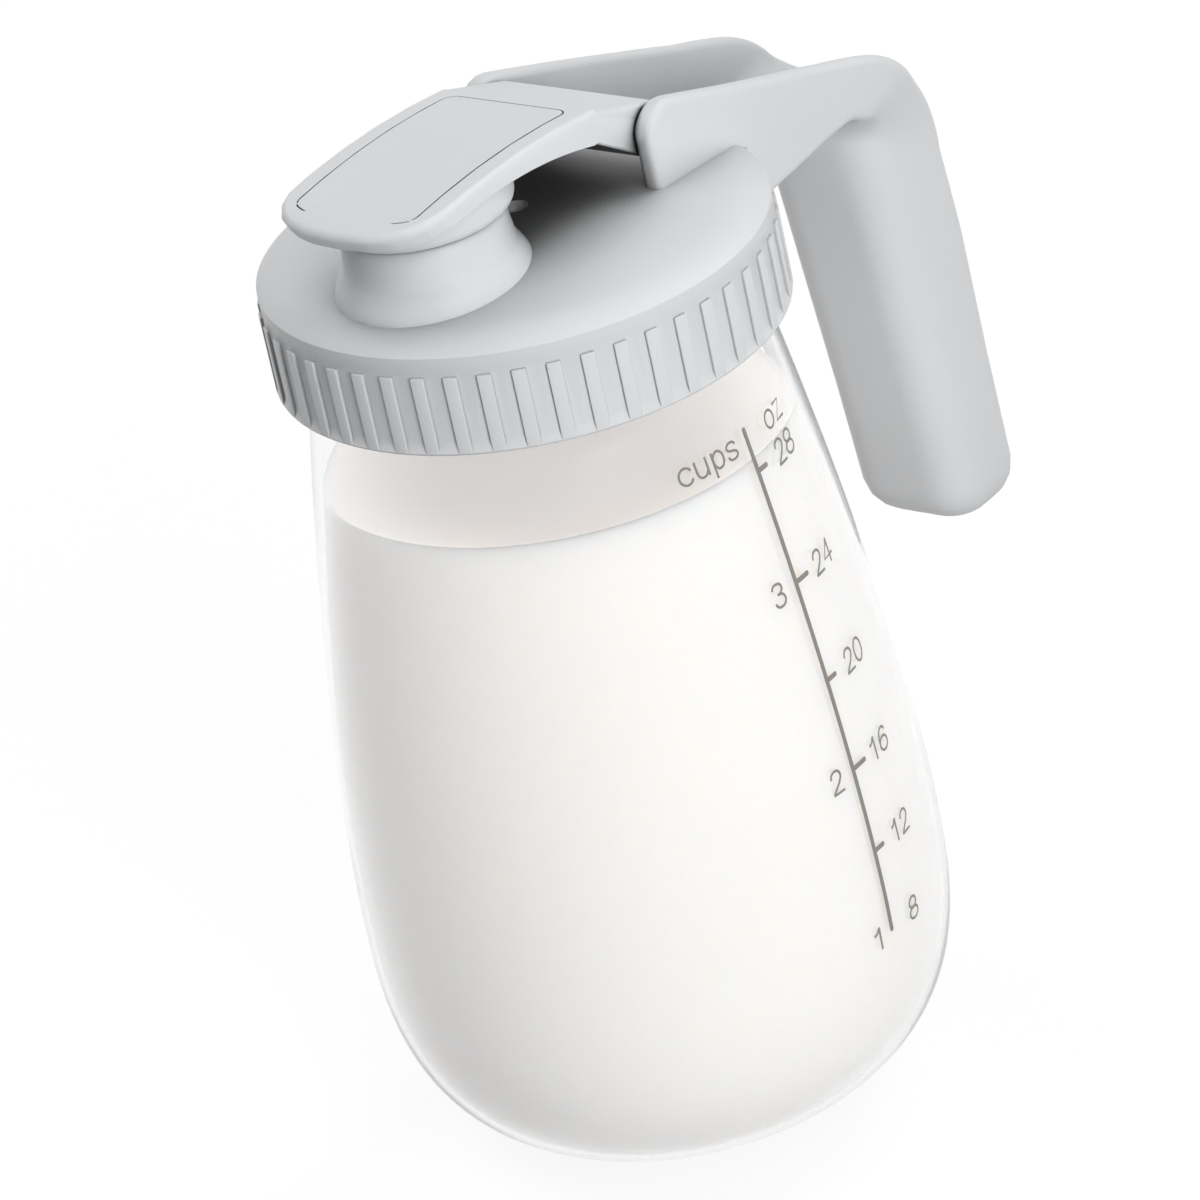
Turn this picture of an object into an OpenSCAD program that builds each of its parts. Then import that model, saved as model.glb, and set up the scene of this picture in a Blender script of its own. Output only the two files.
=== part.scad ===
// Milk storage jug: glass jar, screw lid with a pouring spout, fork handle and flip cap.
// The origin is on the jar's axis at its base. +Z is up, +X runs to the handle, -X to the spout.
// All sizes are in millimetres.

/* [Glass jar] */
// Widest radius of the glass body
jar_r = 51.4; // [48:0.1:56]
// Height of the widest ring above the base
belly_z = 47; // [40:1:55]
// Outer radius of the neck that the lid screws on
neck_r = 38.5; // [36:0.1:40]
// Height of the glass rim
rim_z = 166; // [160:0.5:170]
// Thickness of the glass wall at the belly
belly_t = 1; // [0.8:0.1:2]
// Thickness of the glass wall at the neck
neck_t = 1.7; // [1.4:0.1:2.4]
// Thickness of the glass in the middle of the base
floor_t = 2.5; // [2:0.1:5]

/* [Lid] */
// Height of the skirt's lower edge
skirt_z = 150.8; // [148:0.1:156]
// Radius of the skirt between its grip ribs
skirt_r = 44.15; // [43:0.05:46]
// Bore of the skirt round the neck
skirt_bore_r = 41.2; // [40.6:0.1:42]
// How far the grip ribs stand out
rib_out = 0.7; // [0.3:0.1:1.2]
// Number of grip ribs round the skirt
rib_n = 48; // [36:1:60]
// Width of one grip rib
rib_w = 2.4; // [1.5:0.1:3]
// Height of the crown at the lid's centre
crown_z = 173.3; // [171:0.1:176]
// Radius of the vent hole behind the spout
vent_r = 2.3; // [1.5:0.1:3]

/* [Spout] */
// Distance of the spout's axis from the jar's axis
spout_x = 20.8; // [18:0.1:23]
// Outer radius at the spout's rim
spout_r = 14; // [13:0.1:16]
// Bore of the spout
spout_bore_r = 12.2; // [11:0.1:13]
// Height of the spout's rim
spout_z = 183; // [180:0.5:186]

/* [Handle] */
// Distance of the cap's hinge from the jar's axis
hinge_x = 21.4; // [20:0.1:24]
// Height of the cap's hinge
hinge_z = 180.3; // [178:0.1:183]
// Inner faces of the two ears, measured from the middle
ear_in = 16.9; // [16.5:0.1:18]
// Thickness of an arm
arm_t = 4; // [3:0.1:5]
// Fall of the arms towards the back, per millimetre
arm_fall = 0.353; // [0.33:0.002:0.37]
// Distance from the jar's axis at which the arms start to bend down
bend_x = 80.2; // [78:0.5:83]
// Height of the grip's lower end
grip_z = 65.2; // [60:0.2:80]

/* [Flip cap] */
// Half the width of the cap
cap_w = 16.8; // [16:0.1:18]
// Height of the cap's crown
cap_z = 192.3; // [190:0.1:194]
// Width of the gap round the inset panel
groove = 0.3; // [0.15:0.05:0.5]
// Thickness of the inset panel
panel_t = 1.2; // [0.8:0.1:1.6]

/* [Hidden] */
$fn = 96;
dome_r = 297;
cap_arc_r = 175;
cap_arc_x = -18;
under_r = 95;
under_x = -22;
under_z = 188.9;
pin_r = 1.5;
ear_y = ear_in + arm_t / 2;
nose_r = 5.9;
knuckle_r = 4.8;
knuckle_w = 16.5;
arm_z0 = 157;
arch_r = 9;
arch_x = 70.6;
back_r = 10.2;
face_r = 8.4;

// Outer radius of the glass at height z: a cubic superellipse below, a power curve above
function jar_low(z, r, h) = r * pow(max(0, 1 - pow((belly_z - z) / h, 3)), 1 / 3);
function jar_high(z, r) = r - 0.00776 * pow(z - belly_z, 1.588);

// Solid of revolution of the jar's outside, or of its inside with the walls w1 at the belly and w2
// at the neck. The curve starts at z0 and is cut off flat at z1.
module jar_solid(w1, w2, z0, z1, top) {
  low_z = [for (a = [0 : 7.5 : 90]) z0 + (belly_z - z0) * (1 - pow(cos(a), 0.85))];
  rotate_extrude()
    polygon(concat(
      [[0, z1], [jar_low(max(z1, z0 + 0.9), jar_r - w1, belly_z - z0), z1]],
      [for (z = low_z) if (z > max(z1, z0) + 0.9) [jar_low(z, jar_r - w1, belly_z - z0), z]],
      [for (z = [57 : 10.4 : 151]) [jar_high(z, jar_r) - mix(w1, w2, ease(z, 60, 128)), z]],
      [[neck_r - w2, 154.5], [neck_r - w2, top], [0, top]]));
}

module glass_jar() {
  color([0.9, 0.94, 0.95, 0.5])
    difference() {
      union() {
        jar_solid(0, 0, 0, 0, rim_z - neck_t / 2);
        // the rim is fire-polished, so its edge is a full round
        translate([0, 0, rim_z - neck_t / 2])
          rotate_extrude() translate([neck_r - neck_t / 2, 0]) circle(r = neck_t / 2);
        translate([0, 0, rim_z - 3]) cylinder(r = neck_r - neck_t / 2, h = 3);
      }
      // the heel is as thin as the wall, the middle of the base is thicker
      jar_solid(belly_t, neck_t, belly_t, floor_t, rim_z + 1);
    }
}

// Half section of the lid: skirt, shoulder bevel and crown, filled to the axis
module lid_outline() {
  intersection() {
    polygon([[0, skirt_z], [skirt_r, skirt_z], [skirt_r, 165.9], [44.6, 166.8], [44.6, 168.4],
             [42.2, 170.3], [42.2, 180], [0, 180]]);
    translate([0, crown_z - dome_r]) circle(r = dome_r, $fn = 720);
  }
}

module lid_bore() {
  polygon([[0, skirt_z - 1], [skirt_bore_r + 0.6, skirt_z - 1], [skirt_bore_r + 0.6, skirt_z],
           [skirt_bore_r, skirt_z + 0.6], [skirt_bore_r, 168.4], [33.4, 168.4], [33.4, 165.2],
           [31.8, 165.2], [31.8, 170.5], [0, 170.9]]);
}

module grip_ribs() {
  for (i = [0 : rib_n - 1])
    rotate([0, 0, i * 360 / rib_n]) {
      translate([skirt_r - 1, -rib_w / 2, skirt_z])
        cube([1 + rib_out, rib_w, 165.4 - rib_w / 2 - skirt_z]);
      translate([skirt_r - 1, 0, 165.4 - rib_w / 2])
        rotate([0, 90, 0]) cylinder(r = rib_w / 2, h = 1 + rib_out, $fn = 24);
    }
}

// Half section of the spout: a slightly tapered chimney that stands on a bell-shaped foot
module spout_outline() {
  foot = [17.2, 170.9];
  waist = [spout_r + 0.8, 176.1];
  polygon(concat(
    [[0, 170.5], [17.2, 170.5]],
    [for (t = [0 : 0.2 : 1]) mix(foot, waist, t) + 1.44 * t * (1 - t) * [0.904, 0.426]],
    [[spout_r, spout_z - 0.5], [spout_r - 0.5, spout_z], [0, spout_z]]));
}

module lid_shell() {
  color([0.84, 0.85, 0.86])
    difference() {
      union() {
        rotate_extrude() lid_outline();
        intersection() {
          grip_ribs();
          cylinder(r = skirt_r + rib_out, h = 170);
        }
        translate([-spout_x, 0, 0]) rotate_extrude() spout_outline();
      }
      rotate_extrude() lid_bore();
      translate([-spout_x, 0, 160]) cylinder(r = spout_bore_r, h = 30);
      translate([2, 0, 165]) cylinder(r = vent_r, h = 12);
      foot_keys(1.2);
    }
}

// Tongues under the two ears, let into the crown of the lid
module foot_keys(deep) {
  intersection() {
    union()
      for (s = [-1, 1])
        translate([19, s * ear_y - 1, 168]) cube([13, 2, 6]);
    difference() {
      cylinder(r = 60, h = 180);
      translate([0, 0, crown_z - dome_r]) sphere(r = dome_r - deep, $fn = 360);
    }
  }
}

// Rise from 0 to 1 between a and b, level at both ends
function ease(t, a, b) = let (u = min(1, max(0, (t - a) / (b - a)))) u * u * (3 - 2 * u);
function mix(a, b, t) = a + (b - a) * t;

// Depth lost to a rounded edge of radius r at height h
function edge(h, r) = h >= r ? 0 : r - sqrt(r * r - (r - h) * (r - h));

// Upper edge of the arms at distance x, and their outer and inner sides
function arm_top(x) = hinge_z + nose_r * 0.943 - arm_fall * (x - hinge_x - 2);
function arm_out(x) = ear_in + arm_t - 4.6 * ease(x, 30, 92);
function arm_in(x) = ear_in - 3.6 * ease(x, 36, 84);

// Front and back of the grip at height z: it leans out and tapers downwards
function face_x(z) = arch_x + arch_r + 0.1036 * (arm_z0 - arch_r - z);
function back_x(z) = 104.95 + 0.0496 * (175 - z);

// Curve along which the arms bend down into the grip, for t from 0 to 1
function bend(t) =
  let (a = [bend_x, arm_top(bend_x) - 1.6], b = a + 12.2 * [0.943, -0.334],
       d = [back_x(139.3) - back_r, 139.3], c = d + 10.8 * [-0.05, 1])
  pow(1 - t, 3) * a + 3 * pow(1 - t, 2) * t * b + 3 * (1 - t) * t * t * c + pow(t, 3) * d;

// One cross-section of the handle: a plank that starts at p and runs ro past q in the XZ plane.
// Its outer side is at y = b. The side towards the other arm runs from y = a1 to y = a2. The corner
// radii are ri at the start, ro at the end and rv on the side towards the other arm.
function plank(p, q, a1, a2, b, ri, ro, rv) =
  let (l = norm(q - p) + ro, d = (q - p) / norm(q - p),
       pts = concat(
         [for (t = [0 : 11.25 : 90]) [ri - ri * cos(t), b - ri + ri * sin(t)]],
         [for (k = [0.25 : 0.25 : 0.75]) [mix(ri, l - ro, k), b]],
         [for (t = [0 : 11.25 : 90]) [l - ro + ro * sin(t), b - ro + ro * cos(t)]],
         [for (t = [0 : 22.5 : 90]) [l - rv + rv * cos(t), a2 + rv - rv * sin(t)]],
         [for (k = [0.25 : 0.25 : 0.75]) [mix(l - rv, rv, k), mix(a2, a1, k)]],
         [for (t = [0 : 22.5 : 90]) [rv - rv * sin(t), a1 + rv - rv * cos(t)]]))
  [for (c = pts) [p[0] + d[0] * c[0], c[1], p[1] + d[1] * c[0]]];

// The ear has a round nose and rounded edges
function ear_planks() = [for (h = [0, 0.1, 0.4, 0.9, 1.5, 2.6, 4.1, nose_r])
  let (x = hinge_x - nose_r + h, e = edge(h, 1.5), r = 1.501 - e,
       top = hinge_z + sqrt(nose_r * nose_r - (nose_r - h) * (nose_r - h)))
  plank([x, 165], [x, top - r], ear_in + e, ear_in + e, ear_in + arm_t - e, r, r, r)];

function arm_planks() = [for (x = [hinge_x + 2, 28, 34, 40, 46, 52, 58, 64])
  plank([x, mix(165, arm_z0, ease(x, 24, 40))], [x, arm_top(x) - 1.6],
        arm_in(x), arm_in(x), arm_out(x), 1.6, 1.6, 1.5)];

// From the arm, 4 mm thin, to half of the grip, with an arch below and a valley between the arms
function corner_planks() = [for (f = [0 : 0.04 : 1])
  let (x = mix(69, bend_x, f * 5), q = f < 0.2 ? [x, arm_top(x) - 1.6] : bend((f - 0.2) / 0.8),
       b = mix(arm_out(69 + 14 * f), 13.6, ease(f, 0.39, 1)), rv = 1.5 + 2 * ease(f, 0.5, 0.8),
       a1 = mix(arm_in(69 + 12 * f), -4, ease(f, 0.4, 0.75)),
       a2 = mix(arm_in(69 + 12 * f), -4, ease(f, 0.51, 0.89)))
  plank([arch_x + arch_r * sin(90 * f), arm_z0 - arch_r + arch_r * cos(90 * f)], q, a1, a2, b,
        min(mix(1.6, face_r, ease(f, 0.35, 1)), b - a1 - rv),
        min(mix(1.6, back_r, ease(f, 0.56, 0.97)), b - a2 - rv), rv)];

function grip_planks() = [for (g = [0.2 : 0.2 : 1])
  let (z1 = mix(arm_z0 - arch_r, 118, g), z2 = mix(139.3, 118, g))
  plank([face_x(z1), z1], [back_x(z2) - back_r, z2], -4, -4, 13.6, face_r, back_r, 3.5)];

function foot_planks() = [for (h = [28, 7.5, 4.6, 2.6, 1.2, 0.35, 0])
  let (z = grip_z + h, e = edge(h, 7.5))
  plank([face_x(z) + e, z], [back_x(z) - back_r, z], -4, -4, 13.2 - e,
        face_r - 0.9 * e, back_r - e, 3.5 - 0.3 * e)];

// Solid through a row of cross-sections with the same number of points
module loft(rows) {
  n = len(rows[0]);
  m = len(rows);
  polyhedron(points = [for (r = rows) each r],
    faces = concat(
      [for (i = [0 : m - 2], j = [0 : n - 1]) [i * n + j, (i + 1) * n + j, (i + 1) * n + (j + 1) % n]],
      [for (i = [0 : m - 2], j = [0 : n - 1]) [i * n + j, (i + 1) * n + (j + 1) % n, i * n + (j + 1) % n]],
      [for (j = [1 : n - 2]) [0, j, j + 1]],
      [for (j = [1 : n - 2]) [(m - 1) * n, (m - 1) * n + j + 1, (m - 1) * n + j]]));
}

// One arm with its half of the grip
module half_handle() {
  loft(concat(ear_planks(), arm_planks(), corner_planks(), grip_planks(), foot_planks()));
}

module lid_space() {
  cylinder(r = 45.2, h = 165.6);
  cylinder(r = 44.6, h = 168.5);
  intersection() {
    rotate_extrude() lid_outline();
    cylinder(r = 44.6, h = 190);
  }
}

module handle() {
  color([0.80, 0.81, 0.83])
    difference() {
      union() {
        difference() {
          union() {
            half_handle();
            mirror([0, 1, 0]) half_handle();
          }
          lid_space();
        }
        intersection() {
          foot_keys(1.2);
          lid_space();
        }
      }
      // blind pin bore in the near ear, open pin bore in the far one
      translate([hinge_x, 0, hinge_z]) rotate([90, 0, 0]) cylinder(r = pin_r, h = 19.3);
      translate([hinge_x, 30, hinge_z]) rotate([90, 0, 0]) cylinder(r = pin_r, h = 30);
    }
}

// Crown of the cap at distance x
function cap_top(x) = cap_z - cap_arc_r + sqrt(pow(cap_arc_r, 2) - pow(x - cap_arc_x, 2));
// Half-outline of the cap's front end
function cap_front(w, l, a) = [-31 - l * pow(sin(a), 0.9), w * pow(cos(a), 0.72)];

module cap_blank() {
  e = 1.2;
  hull() {
    for (s = [-1, 1]) {
      for (a = [10 : 16 : 90]) {
        p = cap_front(cap_w - e, 12.1 - e, a);
        translate([p[0], s * p[1], cap_top(p[0]) - e]) sphere(r = e, $fn = 16);
        translate([p[0] + 1.8, s * (p[1] - 0.2), 185.8]) cylinder(r = 0.6, h = 0.5, $fn = 12);
      }
      for (x = [-28 : 9 : 8]) {
        translate([x, s * (cap_w - e), cap_top(x) - e]) sphere(r = e, $fn = 16);
        translate([x, s * (cap_w - 0.8), 184.6]) cylinder(r = 0.6, h = 0.5, $fn = 12);
      }
    }
  }
}

// Round disc along Y with a rounded rim
module puck(x, y, z, r, t = arm_t, e = 1.5, fn = 32) {
  translate([x, y, z]) rotate([90, 0, 0])
    rotate_extrude($fn = fn)
      polygon(concat(
        [[0, -t / 2]],
        [for (a = [-90 : 30 : 0]) [r - e + e * cos(a), e - t / 2 + e * sin(a)]],
        [for (a = [0 : 30 : 90]) [r - e + e * cos(a), t / 2 - e + e * sin(a)]],
        [[0, t / 2]]));
}

module cap_rear() {
  hull() {
    for (s = [-1, 1]) {
      translate([7.6, s * (cap_w - 1.2), cap_top(8) - 1.2]) sphere(r = 1.2, $fn = 16);
      translate([7.1, s * (cap_w - 0.8), 185.1]) sphere(r = 0.6, $fn = 12);
    }
    puck(hinge_x, 0, hinge_z, knuckle_r, 2 * knuckle_w, 0.8, 32);
  }
}

// Half the inset panel's plan, grown by g: a bowed front, a straight side, two rounded corners
function panel_half(g) =
  let (w = 12.5 + g, r = 26.7 + g, fr = 2.6 + g, rr = 2 + g, bow_x = -12.9,
       a = asin((w - fr) / (r - fr)), fx = bow_x - (r - fr) * cos(a), bx = 6 + g - rr)
  concat([for (t = [0 : 0.125 : 1]) [bow_x - r * cos(a * t), r * sin(a * t)]],
         [for (t = [0.2 : 0.2 : 1]) let (v = mix(180 - a, 90, t))
           [fx + fr * cos(v), w - fr + fr * sin(v)]],
         [for (t = [0 : 0.2 : 1]) [bx + rr * cos(90 - 90 * t), w - rr + rr * sin(90 - 90 * t)]]);

// The whole plan: the half and its mirror image
module panel_plan(g) {
  h = panel_half(g);
  polygon(concat(h, [for (i = [len(h) - 1 : -1 : 1]) [h[i][0], -h[i][1]]]));
}

module panel_body(g, t) {
  intersection() {
    translate([0, 0, 180]) linear_extrude(height = 20) panel_plan(g);
    translate([cap_arc_x, 30, cap_z - cap_arc_r]) rotate([90, 0, 0])
      difference() {
        cylinder(r = cap_arc_r, h = 60, $fn = 360);
        translate([0, 0, -1]) cylinder(r = cap_arc_r - t, h = 62, $fn = 360);
      }
  }
}

module under_arch() {
  translate([under_x, 30, under_z - under_r]) rotate([90, 0, 0])
    cylinder(r = under_r, h = 60, $fn = 180);
}

module flip_cap() {
  color([0.86, 0.87, 0.88])
    difference() {
      union() {
        difference() {
          cap_blank();
          under_arch();
        }
        cap_rear();
      }
      panel_body(groove, panel_t);
      translate([hinge_x, 30, hinge_z]) rotate([90, 0, 0]) cylinder(r = pin_r + 0.05, h = 60);
      translate([-spout_x, 0, 187]) cylinder(r = 3, h = 3.3);
    }
}

module cap_panel() {
  color([0.88, 0.89, 0.90]) panel_body(0, panel_t);
}

module spout_stopper() {
  color([0.93, 0.93, 0.92])
    union() {
      intersection() {
        translate([-spout_x, 0, 0])
          rotate_extrude()
            polygon(concat(
              [[0, 178], [10.8, 178], [11.4, 178.6], [11.85, 183.3], [14.5, 183.3]],
              [for (a = [-75 : 15 : 0]) [14.3 + 1.8 * cos(a), 185.4 + 2.1 * sin(a)]],
              [[16.1, 190], [0, 190]]));
        under_arch();
      }
      translate([-spout_x, 0, 187]) cylinder(r = 3, h = 3.3);
    }
}

module hinge_pin() {
  color([0.6, 0.62, 0.65])
    translate([hinge_x, 20.4, hinge_z]) rotate([90, 0, 0]) cylinder(r = pin_r, h = 39.6);
}

module lid_gasket() {
  color([0.92, 0.92, 0.90])
    translate([0, 0, 166.3])
      difference() {
        cylinder(r = 40.6, h = 1.8);
        translate([0, 0, -1]) cylinder(r = 34, h = 4);
      }
}

glass_jar();
lid_shell();
handle();
flip_cap();
cap_panel();
spout_stopper();
hinge_pin();
lid_gasket();
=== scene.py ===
"""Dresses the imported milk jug: glass, milk, measuring print, lid, cap, handle, studio.

Every length in the classes is in millimetres and is turned to metres where a mesh is made.
"""

import logging
import math
from dataclasses import dataclass
from enum import Enum
from typing import Iterable, Sequence

import bmesh
import bpy
from mathutils import Matrix, Vector


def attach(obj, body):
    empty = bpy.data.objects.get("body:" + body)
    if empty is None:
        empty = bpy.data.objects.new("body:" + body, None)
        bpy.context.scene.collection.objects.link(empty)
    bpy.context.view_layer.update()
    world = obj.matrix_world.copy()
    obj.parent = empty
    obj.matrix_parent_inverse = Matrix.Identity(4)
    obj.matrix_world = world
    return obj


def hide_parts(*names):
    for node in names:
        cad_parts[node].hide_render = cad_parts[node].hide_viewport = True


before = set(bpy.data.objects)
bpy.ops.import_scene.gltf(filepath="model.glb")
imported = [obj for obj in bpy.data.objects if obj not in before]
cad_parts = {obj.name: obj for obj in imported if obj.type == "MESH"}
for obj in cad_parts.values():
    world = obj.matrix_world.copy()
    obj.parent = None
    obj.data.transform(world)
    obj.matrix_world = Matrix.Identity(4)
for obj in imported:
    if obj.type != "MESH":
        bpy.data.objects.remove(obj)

MM = 0.001
LOG = logging.getLogger("milk_jug")

Point = tuple[float, float]


class Body(str, Enum):
    """The moving bodies of the frame."""

    JAR = "jar"
    SEAL = "seal"
    LID = "lid"
    CAP = "cap"


class Slot(str, Enum):
    """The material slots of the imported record."""

    GLASS = "clear_glass"
    PLASTIC = "grey_plastic"
    PANEL = "panel_plastic"
    STOPPER = "stopper_silicone"
    STEEL = "pin_steel"
    GASKET = "gasket_silicone"


def linear(hex_colour: str, alpha: float = 1.0) -> tuple[float, float, float, float]:
    """Turns an sRGB hex colour into Blender's linear colour.

    Args:
        hex_colour: The colour as "#RRGGBB".
        alpha: The fourth component.

    Returns:
        Linear red, green, blue and alpha.
    """
    parts = [int(hex_colour[i : i + 2], 16) / 255 for i in (1, 3, 5)]
    line = [c / 12.92 if c <= 0.04045 else ((c + 0.055) / 1.055) ** 2.4 for c in parts]
    return (line[0], line[1], line[2], alpha)


def ease(t: float, start: float, end: float) -> float:
    """Rises from 0 to 1 between start and end, level at both ends."""
    u = min(1.0, max(0.0, (t - start) / (end - start)))
    return u * u * (3 - 2 * u)


def arc(centre: Point, radius: float, start: float, end: float, steps: int) -> list[Point]:
    """Points on a circular arc.

    Args:
        centre: The arc's centre.
        radius: Its radius.
        start: Angle of the first point in degrees.
        end: Angle of the last point in degrees.
        steps: Number of chords.

    Returns:
        steps + 1 points.
    """
    angles = [math.radians(start + (end - start) * i / steps) for i in range(steps + 1)]
    return [(centre[0] + radius * math.cos(a), centre[1] + radius * math.sin(a)) for a in angles]


def add_node(
    tree: bpy.types.NodeTree,
    kind: str,
    settings: dict[str, object] | None = None,
    inputs: dict[str | int, object] | None = None,
) -> bpy.types.Node:
    """Adds one shader node with its settings, values and links.

    Args:
        tree: The node tree that takes the node.
        kind: The node's type name.
        settings: Attributes of the node.
        inputs: Values of its inputs, or the output sockets that feed them.

    Returns:
        The new node.
    """
    node = tree.nodes.new(kind)
    for key, value in (settings or {}).items():
        setattr(node, key, value)
    for key, value in (inputs or {}).items():
        if isinstance(value, bpy.types.NodeSocket):
            tree.links.new(value, node.inputs[key])
        else:
            node.inputs[key].default_value = value
    return node


def new_material(name: str) -> tuple[bpy.types.Material, bpy.types.NodeTree, bpy.types.Node]:
    """Makes an empty node material.

    Args:
        name: The material's name.

    Returns:
        The material, its tree and its output node.
    """
    material = bpy.data.materials.new(name)
    material.use_nodes = True
    tree = material.node_tree
    tree.nodes.clear()
    return material, tree, add_node(tree, "ShaderNodeOutputMaterial")


@dataclass(frozen=True)
class MouldedPlastic:
    """Polypropylene, injection moulded in a finely etched tool: satin, with a soft sheen.

    It gives the eye a pale, even tone that turns softly round edges, with shade painted darker into
    its colour in crevices.
    """

    name: str
    colour: str
    roughness: float = 0.42
    # How far the gloss wanders over the surface
    gloss_drift: float = 0.03
    # The etching is really about 0.05 mm across. It is drawn coarser, so that it shows.
    grain_mm: float = 0.45
    grain_depth_mm: float = 0.006
    # Length of the flow marks, and how much darker they are
    flow_mm: float = 34.0
    flow_tint: float = 0.975
    # Painted shade in crevices: its reach, its depth, and the open share at which it is full and
    # gone
    painted_shade_mm: float = 26.0
    painted_shade: float = 0.05
    painted_shade_full: float = 0.12
    painted_shade_gone: float = 0.8

    def build(self) -> bpy.types.Material:
        """Builds the material: flow marks, an etched grain, uneven gloss and shade painted into
        crevices.
        """
        material, tree, out = new_material(self.name)
        place = add_node(tree, "ShaderNodeTexCoord").outputs["Object"]
        flow = add_node(
            tree,
            "ShaderNodeTexNoise",
            inputs={"Vector": place, "Scale": 1 / (self.flow_mm * MM), "Detail": 2.0},
        )
        base = linear(self.colour)
        deep = tuple(c * self.flow_tint for c in base[:3]) + (1.0,)
        tint = add_node(
            tree,
            "ShaderNodeMix",
            {"data_type": "RGBA"},
            {"Factor": flow.outputs["Fac"], 6: base, 7: deep},
        )
        # Painted shade: the colour is darkened where ambient occlusion finds the surface hemmed in
        open_sky = add_node(
            tree,
            "ShaderNodeAmbientOcclusion",
            {"samples": 8},
            {"Distance": self.painted_shade_mm * MM},
        )
        depth = add_node(
            tree,
            "ShaderNodeMapRange",
            {"interpolation_type": "SMOOTHSTEP"},
            {
                "Value": open_sky.outputs["AO"],
                "From Min": self.painted_shade_full,
                "From Max": self.painted_shade_gone,
                "To Min": self.painted_shade,
            },
        )
        shaded = add_node(
            tree,
            "ShaderNodeMix",
            {"data_type": "RGBA", "blend_type": "MULTIPLY"},
            {"Factor": 1.0, 6: tint.outputs[2], 7: depth.outputs["Result"]},
        )
        grain = add_node(
            tree,
            "ShaderNodeTexNoise",
            inputs={"Vector": place, "Scale": 1 / (self.grain_mm * MM), "Detail": 1.0},
        )
        bump = add_node(
            tree,
            "ShaderNodeBump",
            inputs={
                "Strength": 0.6,
                "Distance": self.grain_depth_mm * MM,
                "Height": grain.outputs["Fac"],
            },
        )
        gloss = add_node(
            tree,
            "ShaderNodeMapRange",
            inputs={
                "Value": flow.outputs["Fac"],
                "To Min": self.roughness - self.gloss_drift,
                "To Max": self.roughness + self.gloss_drift,
            },
        )
        skin = add_node(
            tree,
            "ShaderNodeBsdfPrincipled",
            inputs={
                "Base Color": shaded.outputs[2],
                "Roughness": gloss.outputs["Result"],
                "Normal": bump.outputs["Normal"],
                "IOR": 1.49,
            },
        )
        tree.links.new(skin.outputs["BSDF"], out.inputs["Surface"])
        return material


@dataclass(frozen=True)
class BlownGlass:
    """Clear soda-lime glass, blown in a mould: polished, with a very slight waviness.

    It gives the eye clean bright edges and lets the milk's own white through.
    """

    name: str
    colour: str = "#FDFEFE"
    ior: float = 1.5
    # Width and depth of the waves that blowing leaves
    wave_mm: float = 26.0
    wave_depth_mm: float = 0.02
    # What is left of the lamps' light behind one skin of the glass
    shade: str = "#FBFCFC"

    def build(self) -> bpy.types.Material:
        """Builds the material: clear glass that lets the lamps' light through to the milk."""
        material, tree, out = new_material(self.name)
        place = add_node(tree, "ShaderNodeTexCoord").outputs["Object"]
        wave = add_node(
            tree,
            "ShaderNodeTexNoise",
            inputs={"Vector": place, "Scale": 1 / (self.wave_mm * MM), "Detail": 1.0},
        )
        bump = add_node(
            tree,
            "ShaderNodeBump",
            inputs={
                "Strength": 0.3,
                "Distance": self.wave_depth_mm * MM,
                "Height": wave.outputs["Fac"],
            },
        )
        glass = add_node(
            tree,
            "ShaderNodeBsdfPrincipled",
            inputs={
                "Base Color": linear(self.colour),
                "Roughness": 0.0,
                "IOR": self.ior,
                "Transmission Weight": 1.0,
                "Normal": bump.outputs["Normal"],
            },
        )
        clear = add_node(tree, "ShaderNodeBsdfTransparent", inputs={"Color": linear(self.shade)})
        path = add_node(tree, "ShaderNodeLightPath")
        passing = add_node(
            tree,
            "ShaderNodeMath",
            {"operation": "MAXIMUM"},
            {0: path.outputs["Is Shadow Ray"], 1: path.outputs["Is Diffuse Ray"]},
        )
        mix = add_node(
            tree,
            "ShaderNodeMixShader",
            inputs={
                0: passing.outputs[0],
                1: glass.outputs["BSDF"],
                2: clear.outputs["BSDF"],
            },
        )
        tree.links.new(mix.outputs["Shader"], out.inputs["Surface"])
        return material


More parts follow.
